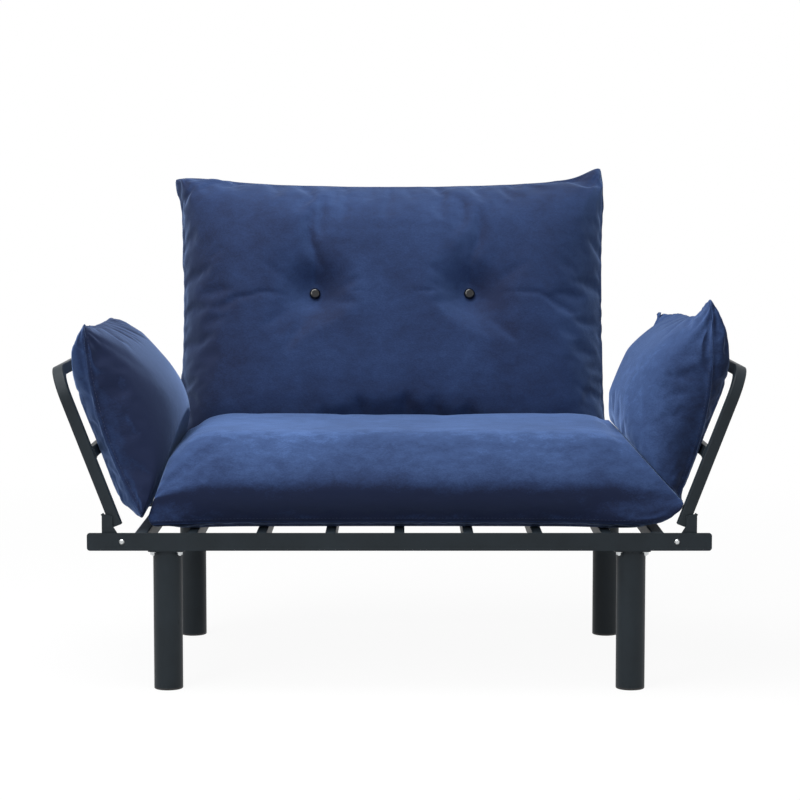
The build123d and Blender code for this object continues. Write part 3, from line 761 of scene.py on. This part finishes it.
def makeWeltTree():
    tree, start, end = nodeTree("foldedEdge", seams["weltSizes"])
    curve = addNode(tree, "GeometryNodeMeshToCurve", {"Mesh": start.outputs["Geometry"]})
    even = addNode(tree, "GeometryNodeResampleCurve", {
        "Curve": curve.outputs[0], "Length": start.outputs["Edge Step"]}, mode="LENGTH")
    ring = addNode(tree, "GeometryNodeCurvePrimitiveCircle", {
        "Resolution": seams["weltFacets"], "Radius": start.outputs["Edge Radius"]})
    tube = addNode(tree, "GeometryNodeCurveToMesh", {
        "Curve": even.outputs[0], "Profile Curve": ring.outputs["Curve"]})
    return endTree(tree, end, tube.outputs[0], finishes["velvet"])


def makeStitchTree():
    tree, start, end = nodeTree("stitchRow", seams["stitchSizes"])
    radius = start.outputs["Stitch Radius"]
    size = addNode(tree, "ShaderNodeCombineXYZ", {
        "X": radius, "Y": radius, "Z": start.outputs["Stitch Length"]})
    row = beadRow(tree, start, "Stitch Pitch", seams["stitchFacets"], size.outputs[0])
    return endTree(tree, end, row, finishes["twine"])


def seamLoop(name, rise):
    # where the skin crosses its seam, or a line above it, found on a copy in which that line lies level
    place = cushionPlace(name)
    level = cushionPieces[name].data.copy()
    local = moved(points(level), place.inverted())
    low, high = local[:, 1].min(), local[:, 1].max()
    local[:, 2] -= seamLevel(name, local, low, high) + rise
    setPoints(level, local)
    skin = bmesh.new()
    skin.from_mesh(level)
    bpy.data.meshes.remove(level)
    cut = bmesh.ops.bisect_plane(
        skin, geom=skin.verts[:] + skin.edges[:] + skin.faces[:], plane_co=(0, 0, 0), plane_no=(0, 0, 1))
    links = {}
    for edge in cut["geom_cut"]:
        if isinstance(edge, bmesh.types.BMEdge):
            for vert in edge.verts:
                links.setdefault(vert, []).append(edge.other_vert(vert))
    best, seen = [], set()
    for start in links:
        if start in seen:
            continue
        loop, here = [start], start
        seen.add(start)
        while True:
            onward = [vert for vert in links[here] if vert not in seen]
            if not onward:
                break
            here = onward[0]
            seen.add(here)
            loop.append(here)
        if len(loop) > len(best):
            best = loop
    row = np.array([vert.co[:] for vert in best])
    skin.free()
    for _ in range(seams["smoothing"]):
        row = (np.roll(row, 1, 0) + 2 * row + np.roll(row, -1, 0)) / 4
    row[:, 2] += seamLevel(name, row, low, high) + rise
    return moved(row, place)


weltTree, stitchTree = makeWeltTree(), makeStitchTree()
for name, cushion in cushions.items():
    edge, row = [(seamLoop(name, 0), True)], [(seamLoop(name, seams["stitchRise"]), True)]
    growPiece(name + "Welt", edge, weltTree, seams["weltSizes"], cushion["body"])
    growPiece(name + "Stitches", row, stitchTree, seams["stitchSizes"], cushion["body"])
print("seams sewn")


# welds: short rows of ripples where tubes, leaves and plates are joined
welds = {"Bead Pitch": 0.0026, "Bead Size": 0.0021, "Bead Spread": 0.25}

# leafEdge: height of a leaf's upper edge; tubeTop: how far a row ends below the top of its tube
# shaftTop: height of the plate on a leg, and a little more; plateFrom: where it begins, in radii of the leg
weldRules = {
    "facets": (8, 5), "seed": 7, "leafEdge": 0.0065, "tubeTop": 0.002,
    "shaftTop": 0.02, "plateFrom": 1.1, "turns": 40,
}


def makeWeldTree():
    tree, start, end = nodeTree("weldRipples", welds)
    least = maths(tree, "SUBTRACT", 1.0, start.outputs["Bead Spread"])
    size = addNode(tree, "FunctionNodeRandomValue", {
        2: least, 3: 1.0, "Seed": weldRules["seed"]}, data_type="FLOAT")
    size = maths(tree, "MULTIPLY", size.outputs[1], start.outputs["Bead Size"])
    row = beadRow(tree, start, "Bead Pitch", weldRules["facets"], size)
    return endTree(tree, end, row, finishes["frame_paint"])


def barEnds(node, place):
    # square rings where a cross bar meets the uprights
    local = moved(points(nodes[node].data), place.inverted())
    low, high = local.min(0), local.max(0)
    square = [(low[1], low[2]), (high[1], low[2]), (high[1], high[2]), (low[1], high[2])]
    for across in (low[0], high[0]):
        yield [place @ Vector((across, *corner)) for corner in square], True


def leafTop(node, place):
    # a row along the upper edge of a hinge leaf, on the tube that it is welded to
    local = moved(points(nodes[node].data), place.inverted())
    edge = local[local[:, 1] > local[:, 1].max() - weldRules["leafEdge"]]
    inner = edge[np.argmin(abs(edge[:, 0])), 0]
    near, far = edge[np.argmin(edge[:, 2])], edge[np.argmax(edge[:, 2])]
    yield [place @ Vector((inner, near[1], near[2])), place @ Vector((inner, far[1], far[2]))], False


def tubeCorners(node):
    # upright rows where a cross tube ends against the rails
    low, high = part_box(node)
    for x in (low.x, high.x):
        for y in (low.y, high.y):
            yield [Vector((x, y, low.z)), Vector((x, y, high.z - weldRules["tubeTop"]))], False


def legRing(node):
    # under the plate on top of a leg
    low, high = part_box(node)
    middle = (low + high) / 2
    local = points(nodes[node].data)
    shaft = local[local[:, 2] < high.z - weldRules["shaftTop"]]
    radius = (shaft[:, 0].max() - shaft[:, 0].min()) / 2
    out = np.hypot(local[:, 0] - middle.x, local[:, 1] - middle.y)
    height = local[out > radius * weldRules["plateFrom"], 2].min()
    ring = []
    for turn in range(weldRules["turns"]):
        angle = 2 * math.pi * turn / weldRules["turns"]
        x, y = middle.x + radius * math.cos(angle), middle.y + radius * math.sin(angle)
        ring.append(Vector((x, y, height)))
    yield ring, True


weldTree = makeWeldTree()
places = {"left_arm": framePlace("leftArm"), "right_arm": framePlace("rightArm"), "back": framePlace("back")}
weldPaths = {"base": [], "left_arm": [], "right_arm": [], "back": []}
for node in nodes:
    if node.startswith("slat_") or node.endswith("_end_tube"):
        weldPaths["base"] += tubeCorners(node)
    elif node.endswith("_leg"):
        weldPaths["base"] += legRing(node)
    for body, place in places.items():
        if node in frame["record"]["behaviour"]["bodies"][body]:
            if node.endswith("_crossbar"):
                weldPaths[body] += barEnds(node, place)
            elif node.endswith("_leaf"):
                weldPaths[body] += leafTop(node, place)
for body, paths in weldPaths.items():
    growPiece("weldBeads." + body, paths, weldTree, welds, body)
print("welds:", {body: len(paths) for body, paths in weldPaths.items()})


# studio: white floor and walls of light, a high soft lamp and a key from the upper left
# near and fade: the floor's white where the object stands, and the distances over which it gets full
studio = {
    "floor": "#f4f4f4", "floorSize": 14, "near": 0.94, "fade": (1.2, 3.2),
    "world": 0.24, "aim": (0, 0, 0.5),
    "lamps": {    # place, size in metres, power in watts
        "key": ((-2.2, -3.2, 2.8), 1.8, 58),
        "fill": ((3.0, -3.2, 1.6), 2.4, 6),
        "top": ((-0.7, -0.6, 3.2), 2.4, 120),
    },
}
white = (1, 1, 1, 1)


def seenDirectly(tree):
    # 1 for rays that show the surroundings themselves, 0 for those that only carry their light
    ray = addNode(tree, "ShaderNodeLightPath").outputs
    plain = maths(tree, "MAXIMUM", ray["Is Camera Ray"], ray["Is Glossy Ray"])
    return maths(tree, "MAXIMUM", plain, ray["Is Transmission Ray"])


def makeFloor():
    material, tree, place = newMaterial("paperSweep")
    paper = addNode(tree, "ShaderNodeBsdfDiffuse", {"Color": linear(studio["floor"])})
    glow = addNode(tree, "ShaderNodeEmission", {"Color": white, "Strength": 1.0})
    reach = addNode(tree, "ShaderNodeVectorMath", {0: place}, operation="LENGTH")
    fade = addNode(tree, "ShaderNodeMapRange", {
        "Value": reach.outputs["Value"], "From Min": studio["fade"][0], "From Max": studio["fade"][1],
        "To Min": studio["near"], "To Max": 1.0})
    share = maths(tree, "MULTIPLY", seenDirectly(tree), fade.outputs[0])
    mix = addNode(tree, "ShaderNodeMixShader", {0: share, 1: paper.outputs[0], 2: glow.outputs[0]})
    addNode(tree, "ShaderNodeOutputMaterial", {"Surface": mix.outputs[0]})
    sweep = bmesh.new()
    bmesh.ops.create_grid(sweep, x_segments=1, y_segments=1, size=studio["floorSize"])
    mesh = bpy.data.meshes.new("floor")
    sweep.to_mesh(mesh)
    sweep.free()
    mesh.materials.append(material)
    newPiece("floor", mesh)


def makeWorld():
    world = bpy.data.worlds.new("studio")
    scene.world = world
    world.use_nodes = True
    tree = world.node_tree
    tree.nodes.clear()
    level = spanned(tree, seenDirectly(tree), (studio["world"], 1.0))
    sky = addNode(tree, "ShaderNodeBackground", {"Color": white, "Strength": level})
    addNode(tree, "ShaderNodeOutputWorld", {"Surface": sky.outputs[0]})


def makeLamps():
    for name, (spot, size, power) in studio["lamps"].items():
        lamp = bpy.data.lights.new(name, "AREA")
        lamp.shape, lamp.size, lamp.energy = "DISK", size, power
        holder = newPiece(name, lamp)
        holder.location = spot
        holder.rotation_euler = (Vector(studio["aim"]) - Vector(spot)).to_track_quat("-Z", "Y").to_euler()


# camera: a long lens a metre above the floor, straight on, tipped down a little
camera = {
    "place": (0.0012, -5.0893, 0.9848), "tilt": 5.0211, "focalPx": 2414.8, "imagePx": 800, "sensor": 36,
}


def makeCamera():
    lens = bpy.data.cameras.new("view")
    lens.sensor_width = camera["sensor"]
    lens.lens = camera["focalPx"] / camera["imagePx"] * camera["sensor"]
    eye = newPiece("view", lens)
    eye.location = camera["place"]
    eye.rotation_euler = (math.radians(90 - camera["tilt"]), 0, 0)
    scene.camera = eye


makeFloor()
makeWorld()
makeLamps()
makeCamera()
scene.view_settings.view_transform = "Standard"
print("studio and camera set")
